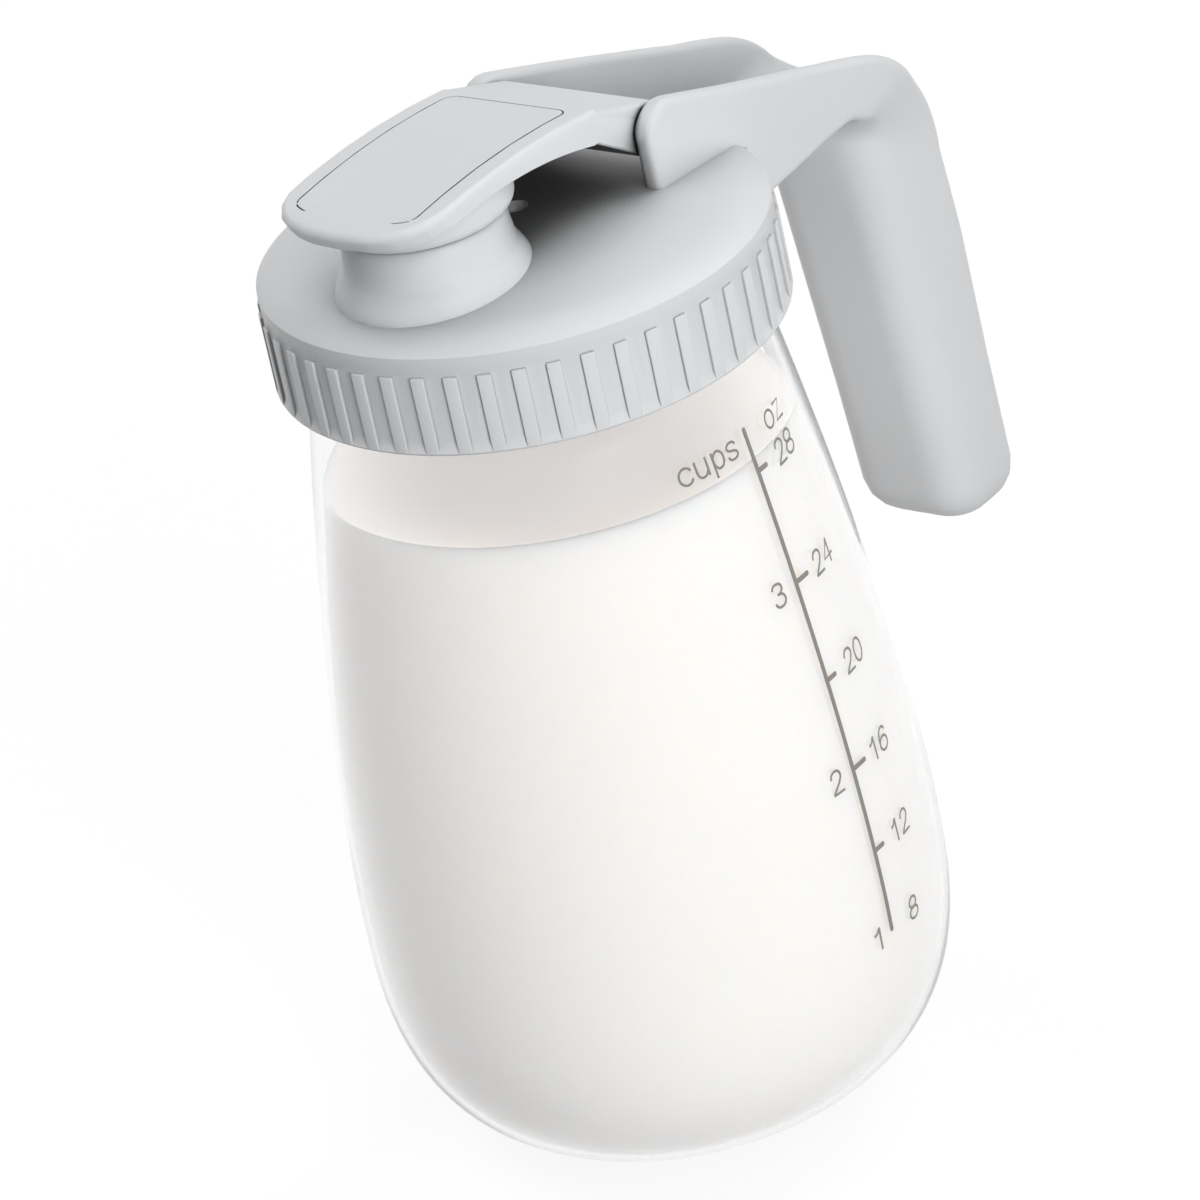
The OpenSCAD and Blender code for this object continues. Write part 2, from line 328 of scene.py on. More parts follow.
@dataclass(frozen=True)
class WholeMilk:
    """Milk: an opaque white liquid in which light spreads for a few millimetres.

    It gives the eye a warm white with very soft shade. The glow is painted light, an emission that
    lifts the milk's brightness, and is stronger on its surface, which looks up.
    """

    name: str
    colour: str = "#F8F2F0"
    cream: str = "#F6EFEC"
    spread_mm: float = 10.0
    # Width of the drifts of cream
    cream_mm: float = 60.0
    # Painted light: emission strength on the sides and on the surface that looks up
    painted_side_light: float = 0.2
    painted_top_light: float = 0.43
    # Upward part of the normal from which a face counts as the surface
    surface_from: float = 0.3

    def build(self) -> bpy.types.Material:
        """Builds the material: scattering white with a faint drift of cream, and painted light as
        emission.
        """
        material, tree, out = new_material(self.name)
        coords = add_node(tree, "ShaderNodeTexCoord")
        drift = add_node(
            tree,
            "ShaderNodeTexNoise",
            inputs={
                "Vector": coords.outputs["Object"],
                "Scale": 1 / (self.cream_mm * MM),
                "Detail": 1.0,
            },
        )
        tint = add_node(
            tree,
            "ShaderNodeMix",
            {"data_type": "RGBA"},
            {"Factor": drift.outputs["Fac"], 6: linear(self.colour), 7: linear(self.cream)},
        )
        facing = add_node(tree, "ShaderNodeSeparateXYZ", inputs={0: coords.outputs["Normal"]})
        # Painted light: the emission rises from the sides to the surface that looks up
        upward = add_node(
            tree,
            "ShaderNodeMapRange",
            inputs={
                "Value": facing.outputs["Z"],
                "From Min": self.surface_from,
                "To Min": self.painted_side_light,
                "To Max": self.painted_top_light,
            },
        )
        body = add_node(
            tree,
            "ShaderNodeBsdfPrincipled",
            inputs={
                "Base Color": tint.outputs[2],
                "Roughness": 0.25,
                "IOR": 1.35,
                "Emission Color": tint.outputs[2],
                "Emission Strength": upward.outputs["Result"],
                "Subsurface Weight": 1.0,
                "Subsurface Radius": (1.0, 0.85, 0.7),
                "Subsurface Scale": self.spread_mm * MM,
            },
        )
        tree.links.new(body.outputs["BSDF"], out.inputs["Surface"])
        return material


@dataclass(frozen=True)
class ScreenPrint:
    """Grey enamel, screen printed on glass and fired: matt, a little uneven in cover."""

    name: str
    colour: str = "#8E8B87"
    # Tone where the ink lies thicker
    thick: str = "#898681"
    # A printing screen has about 0.1 mm between its threads. It is drawn coarser, so that it shows.
    mesh_mm: float = 0.5

    def build(self) -> bpy.types.Material:
        """Builds the material: matt ink with the faint mottle of the screen."""
        material, tree, out = new_material(self.name)
        place = add_node(tree, "ShaderNodeTexCoord").outputs["Object"]
        mottle = add_node(
            tree,
            "ShaderNodeTexNoise",
            inputs={"Vector": place, "Scale": 1 / (self.mesh_mm * MM), "Detail": 1.0},
        )
        tint = add_node(
            tree,
            "ShaderNodeMix",
            {"data_type": "RGBA"},
            {"Factor": mottle.outputs["Fac"], 6: linear(self.colour), 7: linear(self.thick)},
        )
        ink = add_node(
            tree,
            "ShaderNodeBsdfPrincipled",
            inputs={"Base Color": tint.outputs[2], "Roughness": 0.6},
        )
        tree.links.new(ink.outputs["BSDF"], out.inputs["Surface"])
        return material


@dataclass(frozen=True)
class Silicone:
    """Cured silicone rubber: soft, dull, a little translucent.

    It gives the eye a milky tone without a clear highlight.
    """

    name: str
    colour: str
    roughness: float = 0.55
    # Width of the faint mottle, and how much darker it is
    dust_mm: float = 1.2
    dust_tint: float = 0.97
    # How far light spreads in the rubber
    spread_mm: float = 0.8

    def build(self) -> bpy.types.Material:
        """Builds the material: dull scattering rubber with a faint mottle."""
        material, tree, out = new_material(self.name)
        place = add_node(tree, "ShaderNodeTexCoord").outputs["Object"]
        dust = add_node(
            tree,
            "ShaderNodeTexNoise",
            inputs={"Vector": place, "Scale": 1 / (self.dust_mm * MM), "Detail": 2.0},
        )
        base = linear(self.colour)
        deep = tuple(c * self.dust_tint for c in base[:3]) + (1.0,)
        tint = add_node(
            tree,
            "ShaderNodeMix",
            {"data_type": "RGBA"},
            {"Factor": dust.outputs["Fac"], 6: base, 7: deep},
        )
        rubber = add_node(
            tree,
            "ShaderNodeBsdfPrincipled",
            inputs={
                "Base Color": tint.outputs[2],
                "Roughness": self.roughness,
                "IOR": 1.41,
                "Subsurface Weight": 0.15,
                "Subsurface Radius": (1.0, 0.9, 0.8),
                "Subsurface Scale": self.spread_mm * MM,
            },
        )
        tree.links.new(rubber.outputs["BSDF"], out.inputs["Surface"])
        return material


@dataclass(frozen=True)
class DrawnSteel:
    """Stainless wire, drawn through a die: a grey sheen with fine marks along its length."""

    name: str
    colour: str = "#C4C6CA"
    # Drawing marks are about 0.02 mm apart. They are drawn coarser, so that they show.
    mark_mm: float = 0.15
    # How much the marks are stretched along the pin
    stretch: float = 0.02
    smooth: float = 0.22
    rough: float = 0.4

    def build(self) -> bpy.types.Material:
        """Builds the material: metal whose roughness varies in lines along the pin."""
        material, tree, out = new_material(self.name)
        place = add_node(tree, "ShaderNodeTexCoord").outputs["Object"]
        along = add_node(
            tree, "ShaderNodeMapping", inputs={"Vector": place, "Scale": (1.0, self.stretch, 1.0)}
        )
        marks = add_node(
            tree,
            "ShaderNodeTexNoise",
            inputs={"Vector": along.outputs[0], "Scale": 1 / (self.mark_mm * MM)},
        )
        gloss = add_node(
            tree,
            "ShaderNodeMapRange",
            inputs={"Value": marks.outputs["Fac"], "To Min": self.smooth, "To Max": self.rough},
        )
        metal = add_node(
            tree,
            "ShaderNodeBsdfPrincipled",
            inputs={
                "Base Color": linear(self.colour),
                "Metallic": 1.0,
                "Roughness": gloss.outputs["Result"],
            },
        )
        tree.links.new(metal.outputs["BSDF"], out.inputs["Surface"])
        return material


Finish = MouldedPlastic | BlownGlass | WholeMilk | ScreenPrint | Silicone | DrawnSteel

LID_PLASTIC = MouldedPlastic("polypropylene_lid", "#DBDDDF")
CAP_PLASTIC = MouldedPlastic("polypropylene_cap", "#DDDFE1")
PANEL_PLASTIC = MouldedPlastic("polypropylene_panel", "#DEDFE1", roughness=0.46)
STOPPER_RUBBER = Silicone("silicone_stopper", "#DCDDDE")
GASKET_RUBBER = Silicone("silicone_gasket", "#E9E9E6")
PIN_METAL = DrawnSteel("steel_drawn_pin")
JAR_GLASS = BlownGlass("glass_blown_clear")
MILK = WholeMilk("milk_whole")
SCALE_INK = ScreenPrint("enamel_screen_print")


class Workshop:
    """Turns meshes into finished pieces of the scene and counts them."""

    # Edges that are bent by more than this stay sharp
    crease_deg = 38.0

    def __init__(self) -> None:
        """Starts with no materials made and no pieces placed."""
        self._materials: dict[str, bpy.types.Material] = {}
        self.count = 0

    def material(self, finish: Finish) -> bpy.types.Material:
        """The material of a finish, made once."""
        if finish.name not in self._materials:
            self._materials[finish.name] = finish.build()
        return self._materials[finish.name]

    def place(
        self,
        mesh: bmesh.types.BMesh,
        name: str,
        body: Body,
        slot: Slot,
        finish: Finish,
        replaces: str | None = None,
    ) -> None:
        """Makes an object of a mesh in metres and hands it to its body.

        Args:
            mesh: The finished shape, freed afterwards.
            name: The piece's name.
            body: The body that it rides on.
            slot: Not used.
            finish: Its finish.
            replaces: A CAD node that it stands for.
        """
        limit = math.radians(self.crease_deg)
        for face in mesh.faces:
            face.smooth = True
        for edge in mesh.edges:
            edge.smooth = len(edge.link_faces) == 2 and edge.calc_face_angle(0.0) < limit
        data = bpy.data.meshes.new(name)
        mesh.to_mesh(data)
        mesh.free()
        data.materials.append(self.material(finish))
        piece = bpy.data.objects.new(name, data)
        bpy.context.scene.collection.objects.link(piece)
        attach(piece, body.value)
        if replaces:
            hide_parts(replaces)
        self.count += 1
        LOG.info("%s rides on %s, %d faces", name, body.value, len(data.polygons))

    def dress(self, node: str, finish: Finish) -> None:
        """Gives a CAD node that stays in view its material."""
        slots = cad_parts[node].data.materials
        slots.clear()
        slots.append(self.material(finish))
        LOG.info("%s keeps its CAD shape", node)


def lathe(profile: Sequence[Point], steps: int) -> bmesh.types.BMesh:
    """Spins a half section round a vertical axis into a closed solid.

    Args:
        profile: Radius and height of its points in mm. A closed section repeats its first point.
        steps: Number of steps of the full turn.

    Returns:
        The solid in metres, with its normals outward.
    """
    mesh = bmesh.new()
    verts = [mesh.verts.new((r * MM, 0.0, z * MM)) for r, z in profile]
    for a, b in zip(verts, verts[1:]):
        mesh.edges.new((a, b))
    bmesh.ops.spin(
        mesh,
        geom=mesh.verts[:] + mesh.edges[:],
        cent=(0, 0, 0),
        axis=(0, 0, 1),
        angle=math.tau,
        steps=steps,
        use_merge=True,
    )
    bmesh.ops.remove_doubles(mesh, verts=mesh.verts, dist=1e-6)
    bmesh.ops.recalc_face_normals(mesh, faces=mesh.faces)
    return mesh


def merged_copy(node: str) -> bmesh.types.BMesh:
    """A copy of a CAD node's mesh with its loose triangles joined."""
    mesh = bmesh.new()
    mesh.from_mesh(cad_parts[node].data)
    bmesh.ops.remove_doubles(mesh, verts=mesh.verts, dist=2e-6)
    bmesh.ops.dissolve_degenerate(mesh, edges=mesh.edges, dist=1e-7)
    return mesh


def overlap(target: bmesh.types.BMesh, tool: bmesh.types.BMesh) -> bmesh.types.BMesh:
    """Keeps what two solids have in common.

    Args:
        target: The solid that is changed.
        tool: The solid that it is cut down to, freed afterwards.

    Returns:
        The changed target.
    """
    helpers = []
    for mesh, name in ((target, "work"), (tool, "tool")):
        data = bpy.data.meshes.new(name)
        mesh.to_mesh(data)
        helpers.append(bpy.data.objects.new(name, data))
        bpy.context.scene.collection.objects.link(helpers[-1])
    tool.free()
    work, cutter = helpers
    cut = work.modifiers.new("cut", "BOOLEAN")
    cut.operation = "INTERSECT"
    cut.solver = "EXACT"
    cut.object = cutter
    bpy.context.view_layer.update()
    graph = bpy.context.evaluated_depsgraph_get()
    target.clear()
    result = bpy.data.meshes.new_from_object(work.evaluated_get(graph))
    target.from_mesh(result)
    bpy.data.meshes.remove(result)
    for item in helpers:
        data = item.data
        bpy.data.objects.remove(item)
        bpy.data.meshes.remove(data)
    return target


@dataclass
class GlassJar:
    """The glass body with the milk in it."""

    # Radius and height of the widest ring, and radius of the neck
    belly_r: float = 51.4
    belly_z: float = 47.0
    neck_r: float = 38.5
    rim_z: float = 166.0
    # The small rounding under the foot
    foot_edge: float = 0.45
    # The long taper above the belly: how much it draws in, and how its curve grows
    taper: float = 0.00776
    taper_power: float = 1.588
    # Height at which the taper turns into the straight neck
    shoulder_z: float = 149.0
    belly_wall: float = 1.0
    neck_wall: float = 1.7
    # Heights between which the wall grows thicker
    thin_to_z: float = 60.0
    thick_from_z: float = 128.0
    floor: float = 2.5
    milk_gap: float = 0.05
    milk_z: float = 130.8
    # Height to which the milk creeps up the glass
    creep: float = 0.9
    # Height of a row of faces above the belly, and how closely rows crowd towards the foot
    row: float = 2.4
    crowd: float = 0.85
    steps: int = 192

    def wall(self, z: float) -> float:
        """Thickness of the glass at a height: thin at the belly, thicker at the neck."""
        share = ease(z, self.thin_to_z, self.thick_from_z)
        return self.belly_wall + (self.neck_wall - self.belly_wall) * share

    def radius(self, z: float) -> float:
        """Outer radius of the glass at a height above its foot."""
        if z < self.belly_z:
            return self.belly_r * max(0.0, 1 - (1 - z / self.belly_z) ** 3) ** (1 / 3)
        return self.belly_r - self.taper * (z - self.belly_z) ** self.taper_power

    def heel(self, z: float, inset: float) -> float:
        """Radius of a skin that lies by an inset inside the outer one, below the belly."""
        t = (self.belly_z - z) / (self.belly_z - inset)
        return (self.belly_r - inset) * max(0.0, 1 - t**3) ** (1 / 3)

    def outside(self) -> list[Point]:
        """Half section of the outer skin, from the axis up to the rim."""
        low = [z for z in self.rows(0.0, 3) if z > self.foot_edge]
        flat = self.radius(self.foot_edge)
        points = [(0.0, 0.0), (flat * 0.5, 0.0), (flat - 2.5, 0.0), (flat - 0.8, 0.04)]
        points += [(self.radius(z), z) for z in [self.foot_edge, *low]]
        points += [(self.radius(z), z) for z in self.heights(self.shoulder_z)]
        return [*points, *self.neck(self.neck_r), (self.neck_r, self.rim_z - self.neck_wall / 2)]

    def neck(self, radius: float) -> list[Point]:
        """The turn from the taper into the straight neck, for a skin of the neck's radius."""
        low = self.shoulder_z
        return [(radius + 0.22, low + 2.5), (radius + 0.04, low + 4.5), (radius, low + 6.5)]

    def rows(self, base: float, first: int) -> list[float]:
        """Steps from near a base up to the belly, closer together towards the base."""
        span = self.belly_z - base
        turn = [math.cos(math.radians(a)) for a in range(first, 91, 3)]
        return [base + span * (1 - share**self.crowd) for share in turn]

    def heights(self, top: float) -> list[float]:
        """Even steps from above the belly up to a height."""
        count = math.ceil((top - self.belly_z) / self.row)
        return [self.belly_z + self.row * k for k in range(1, count)]

    def inside(self, gap: float, top: float) -> list[Point]:
        """Half section of the inner skin, or of what lies in it, from the axis up.

        Args:
            gap: Distance from the inner skin.
            top: Height at which it ends.

        Returns:
            Points from the axis outward and up.
        """
        inset = self.belly_wall + gap
        base = self.floor + gap
        edge = self.heel(base, inset)
        points = [(0.0, base), (edge * 0.5, base), (edge - 1.2, base)]
        points += [(edge + 0.6, base + 0.13), (self.heel(base + 0.5, inset), base + 0.5)]
        low = [z for z in self.rows(base, 12) if z > base + 2 * self.foot_edge]
        points += [(self.heel(z, inset), z) for z in low]
        high = self.heights(min(top - 0.5, self.shoulder_z))
        points += [(self.radius(z) - self.wall(z) - gap, z) for z in high]
        if top < self.shoulder_z:
            return [*points, (self.radius(top) - self.wall(top) - gap, top)]
        bore = self.neck_r - self.neck_wall - gap
        return [*points, *self.neck(bore), (bore, top)]

    def glass(self) -> bmesh.types.BMesh:
        """The glass: outside, fire-polished rim and inside in one closed skin."""
        half = self.neck_wall / 2
        rim = arc((self.neck_r - half, self.rim_z - half), half, 15, 165, 10)
        inside = self.inside(0.0, self.rim_z - half)
        return lathe([*self.outside(), *rim, *reversed(inside)], self.steps)

    def milk(self) -> bmesh.types.BMesh:
        """The milk, level as the jug stands, with the small rim where it creeps up the wall."""
        wet = self.inside(self.milk_gap, self.milk_z + self.creep)
        edge = wet[-1][0]
        top = [(edge - 0.35, self.milk_z + self.creep / 2), (edge - 1.1, self.milk_z + 0.12)]
        top += [(edge - 2.4, self.milk_z), (edge * 0.5, self.milk_z), (0.0, self.milk_z)]
        return lathe([*wet, *top], self.steps)

    def build(self, shop: Workshop) -> None:
        """Builds the glass and the milk."""
        shop.place(self.glass(), "jar_glass", Body.JAR, Slot.GLASS, JAR_GLASS, "glass_jar")
        shop.place(self.milk(), "milk_filling", Body.JAR, Slot.STOPPER, MILK)


class Pen(Enum):
    """The ways in which a stroke of the lettering is drawn."""

    CURVE = "a smooth line through its points"
    LINES = "straight lines from point to point"
    LOOP = "a closed oval, given by its centre and its half width and height"


@dataclass(frozen=True)
class Glyph:
    """One sign of the lettering: how far it advances, and its strokes in mm."""

    advance: float
    strokes: tuple[tuple[Pen, tuple[Point, ...]], ...]


GLYPHS: dict[str, Glyph] = {
    "0": Glyph(3.55, ((Pen.LOOP, ((1.56, 2.25), (1.34, 2.04))),)),
    "1": Glyph(
        3.2,
        (
            (Pen.LINES, ((1.6, 0.06), (1.6, 4.44))),
            (Pen.CURVE, ((0.12, 3.22), (0.95, 3.5), (1.45, 4.25))),
        ),
    ),
    "2": Glyph(
        3.55,
        (
            (
                Pen.CURVE,
                (
                    (0.3, 3.1),
                    (0.62, 3.93),
                    (1.5, 4.29),
                    (2.37, 3.95),
                    (2.67, 3.15),
                    (2.2, 2.2),
                    (1.15, 1.2),
                    (0.22, 0.28),
                ),
            ),
            (Pen.LINES, ((0.1, 0.21), (2.9, 0.21))),
        ),
    ),
    "3": Glyph(
        3.55,
        (
            (
                Pen.CURVE,
                ((0.25, 3.5), (0.65, 4.12), (1.45, 4.29), (2.3, 3.98), (2.55, 3.3), (2.2, 2.66)),
            ),
            (
                Pen.CURVE,
                (
                    (1.2, 2.42),
                    (2.15, 2.3),
                    (2.75, 1.35),
                    (2.35, 0.5),
                    (1.45, 0.21),
                    (0.6, 0.48),
                    (0.22, 1.15),
                ),
            ),
            (Pen.CURVE, ((1.2, 2.42), (1.75, 2.46), (2.2, 2.66))),
        ),
    ),
    "4": Glyph(
        3.55,
        (
            (Pen.LINES, ((2.25, 4.2), (0.2, 1.4), (3.3, 1.4))),
            (Pen.LINES, ((2.25, 4.44), (2.25, 0.06))),
        ),
    ),
    "6": Glyph(
        3.55,
        (
            (Pen.LOOP, ((1.62, 1.43), (1.36, 1.22))),
            (
                Pen.CURVE,
                ((0.27, 1.5), (0.36, 2.7), (0.85, 3.85), (1.65, 4.29), (2.4, 4.1), (2.82, 3.5)),
            ),
        ),
    ),
    "8": Glyph(
        3.55,
        (
            (Pen.LOOP, ((1.52, 3.26), (1.14, 1.03))),
            (Pen.LOOP, ((1.52, 1.27), (1.37, 1.06))),
        ),
    ),
    "o": Glyph(3.55, ((Pen.LOOP, ((1.56, 1.7), (1.37, 1.5))),)),
    "z": Glyph(3.2, ((Pen.LINES, ((0.15, 3.2), (2.6, 3.2), (0.2, 0.22), (2.85, 0.22))),)),
    "c": Glyph(
        3.54,
        (
            (
                Pen.CURVE,
                (
                    (2.83, 2.4),
                    (2.3, 2.98),
                    (1.5, 3.18),
                    (0.62, 2.72),
                    (0.24, 1.7),
                    (0.62, 0.66),
                    (1.5, 0.22),
                    (2.3, 0.42),
                    (2.83, 1.0),
                ),
            ),
        ),
    ),
    "u": Glyph(
        3.73,
        (
            (
                Pen.CURVE,
                (
                    (0.26, 3.36),
                    (0.26, 2.3),
                    (0.3, 1.2),
                    (0.68, 0.42),
                    (1.4, 0.22),
                    (2.1, 0.5),
                    (2.52, 1.3),
                ),
            ),
            (Pen.LINES, ((2.56, 3.38), (2.56, 0.04))),
        ),
    ),
    "p": Glyph(
        3.37,
        (
            (Pen.LINES, ((0.21, 3.38), (0.21, -1.15))),
            (Pen.LOOP, ((1.4, 1.7), (1.12, 1.49))),
        ),
    ),
    "s": Glyph(
        3.2,
        (
            (
                Pen.CURVE,
                (
                    (2.42, 2.5),
                    (2.0, 3.02),
                    (1.3, 3.18),
                    (0.52, 2.92),
                    (0.28, 2.38),
                    (0.7, 1.9),
                    (1.9, 1.5),
                    (2.42, 0.98),
                    (2.1, 0.42),
                    (1.3, 0.22),
                    (0.5, 0.42),
                    (0.14, 0.98),
                ),
            ),
        ),
    ),
}


@dataclass
class MeasuringScale:
    """The generic measuring scale that is printed on the glass."""

    jar: GlassJar
    # Side of the jug on which the line is printed, in degrees from +X
    azimuth: float = -90.0
    # Half of the print's width, rounded up
    half_width: int = 17
    top_z: float = 138.1
    bottom_z: float = 41.2
    # Width of the line and its ticks, and of the pen that draws the lettering
    bar_w: float = 0.9
    pen_w: float = 0.47
    # Rounding at a bar's ends as a share of its width, and height of the rows it is cut into
    bar_round: float = 0.48
    row: int = 3
    # Where the ticks begin, inside the line
    tick_x: float = -0.4
    # Gap between glass and ink, and the ink's thickness
    lift: float = 0.02
    ink_t: float = 0.03
    figure_h: float = 4.5
    # Left edge of the ounce figures, right of the line, and lower edge of the words
    figure_x: float = 5.87
    words_y: float = 134.17
    # Ounce marks: figure, height of its tick, and where the tick ends
    ounces: tuple[tuple[str, float, float], ...] = (
        ("28", 130.0, 2.85),
        ("24", 109.1, 3.9),
        ("20", 90.4, 2.9),
        ("16", 73.25, 4.0),
        ("12", 57.2, 3.0),
    )
    # Cup figures: figure, height of its middle, and left edge
    cups: tuple[tuple[str, float, float], ...] = (("3", 109.1, -6.1), ("2", 73.25, -6.0))
    # Signs at the line's two ends: text, left edge, lower edge and the piece's name
    right_ends: tuple[tuple[str, float, float, str], ...] = (
        ("8", figure_x, 39.4, "scale_oz_8"),
        ("oz", figure_x, words_y, "scale_oz"),
    )
    left_ends: tuple[tuple[str, float, float, str], ...] = (
        ("1", -4.8, 39.35, "scale_cup_1"),
        ("cups", -16.04, words_y, "scale_cups"),
    )

    def wrap(self, mesh: bmesh.types.BMesh) -> bmesh.types.BMesh:
        """Lays a flat shape on the glass: x is measured round it, y up it and z out of it."""
        for x in range(-self.half_width, self.half_width):
            bmesh.ops.bisect_plane(
                mesh,
                geom=mesh.verts[:] + mesh.edges[:] + mesh.faces[:],
                plane_co=(x * MM, 0, 0),
                plane_no=(1, 0, 0),
            )
        for vert in mesh.verts:
            u, z, out = vert.co / MM
            r = self.jar.radius(z)
            slope = self.jar.radius(z + 0.5) - self.jar.radius(z - 0.5)
            lean = math.sqrt(1 + slope * slope)
            angle = math.radians(self.azimuth) + u / r
            reach = r + (self.lift + out) / lean
            vert.co = (
                reach * math.cos(angle) * MM,
                reach * math.sin(angle) * MM,
                (z - slope * (self.lift + out) / lean) * MM,
            )
        return mesh

    def bar(self, x0: float, y0: float, x1: float, y1: float) -> bmesh.types.BMesh:
        """A flat bar of ink with round ends, cut into rows so that it can bend up the glass."""
        mesh = bmesh.new()
        bmesh.ops.create_cube(mesh, size=1.0)
        size = ((x1 - x0) * MM, (y1 - y0) * MM, self.ink_t * MM)
        bmesh.ops.scale(mesh, vec=size, verts=mesh.verts)
        bmesh.ops.bevel(
            mesh,
            geom=[e for e in mesh.edges if abs(e.verts[0].co.z - e.verts[1].co.z) > 0.01 * MM],
            offset=self.bar_w * self.bar_round * MM,
            offset_type="OFFSET",
            affect="EDGES",
            segments=5,
            profile=0.5,
            material=-1,
        )
        middle = ((x0 + x1) / 2 * MM, (y0 + y1) / 2 * MM, self.ink_t / 2 * MM)
        bmesh.ops.translate(mesh, vec=middle, verts=mesh.verts)
        for k in range(1, int((y1 - y0) / self.row)):
            bmesh.ops.bisect_plane(
                mesh,
                geom=mesh.verts[:] + mesh.edges[:] + mesh.faces[:],
                plane_co=(0, (y0 + self.row * k) * MM, 0),
                plane_no=(0, 1, 0),
            )
        return mesh

    def stroke(self, curve: bpy.types.Curve, pen: Pen, points: Sequence[Point], x: float) -> None:
        """Adds one stroke of the pen to a curve.

        Args:
            curve: The curve that takes the stroke.
            pen: How the stroke is drawn.
            points: Its points in mm.
            x: Place of the sign's left edge.
        """
        if pen is Pen.LOOP:
            (cx, cy), (rx, ry) = points
            turn = [math.radians(45 * k) for k in range(8)]
            points = [(cx + rx * math.cos(a), cy + ry * math.sin(a)) for a in turn]
        spline = curve.splines.new("BEZIER")
        spline.bezier_points.add(len(points) - 1)
        spline.use_cyclic_u = pen is Pen.LOOP
        spline.resolution_u = 1 if pen is Pen.LINES else 5
        handle = "VECTOR" if pen is Pen.LINES else "AUTO"
        for knot, (px, py) in zip(spline.bezier_points, points):
            knot.co = ((x + px) * MM, py * MM, 0)
            knot.handle_left_type = knot.handle_right_type = handle

    def words(self, text: str, x: float, y: float) -> bmesh.types.BMesh:
        """Flat lettering of an even pen, with its left end and its lower edge at x and y."""
        curve = bpy.data.curves.new("lettering", "CURVE")
        curve.dimensions = "3D"
        curve.bevel_depth = self.pen_w / 2 * MM
        curve.bevel_resolution = 1
        curve.use_fill_caps = True
        reach = 0.0
        for sign in text:
            for pen, points in GLYPHS[sign].strokes:
                self.stroke(curve, pen, points, reach)
            reach += GLYPHS[sign].advance
        holder = bpy.data.objects.new("lettering", curve)
        bpy.context.scene.collection.objects.link(holder)
        bpy.context.view_layer.update()
        graph = bpy.context.evaluated_depsgraph_get()
        data = bpy.data.meshes.new_from_object(holder.evaluated_get(graph))
        mesh = bmesh.new()
        mesh.from_mesh(data)
        bpy.data.objects.remove(holder)
        bpy.data.curves.remove(curve)
        bpy.data.meshes.remove(data)
        bmesh.ops.remove_doubles(mesh, verts=mesh.verts, dist=1e-7)
        bmesh.ops.scale(mesh, vec=(1, 1, self.ink_t / self.pen_w), verts=mesh.verts)
        bmesh.ops.translate(mesh, vec=(x * MM, y * MM, self.ink_t / 2 * MM), verts=mesh.verts)
        bmesh.ops.recalc_face_normals(mesh, faces=mesh.faces)
        return mesh

    def build(self, shop: Workshop) -> None:
        """Prints the line, the ticks, the figures and the words."""
        half = self.bar_w / 2
        rule = self.bar(-half, self.bottom_z, half, self.top_z)
        shop.place(self.wrap(rule), "scale_line", Body.JAR, Slot.PLASTIC, SCALE_INK)
        for text, z, end in self.ounces:
            tick = self.bar(self.tick_x, z - half, end, z + half)
            shop.place(self.wrap(tick), f"scale_tick_{text}", Body.JAR, Slot.PLASTIC, SCALE_INK)
        low = self.figure_h / 2
        labels = [(text, self.figure_x, z - low, f"scale_oz_{text}") for text, z, _ in self.ounces]
        labels += self.right_ends
        labels += [(text, x, z - low, f"scale_cup_{text}") for text, z, x in self.cups]
        labels += self.left_ends
        for text, x, y, name in labels:
            shape = self.words(text, x, y)
            shop.place(self.wrap(shape), name, Body.JAR, Slot.PLASTIC, SCALE_INK)


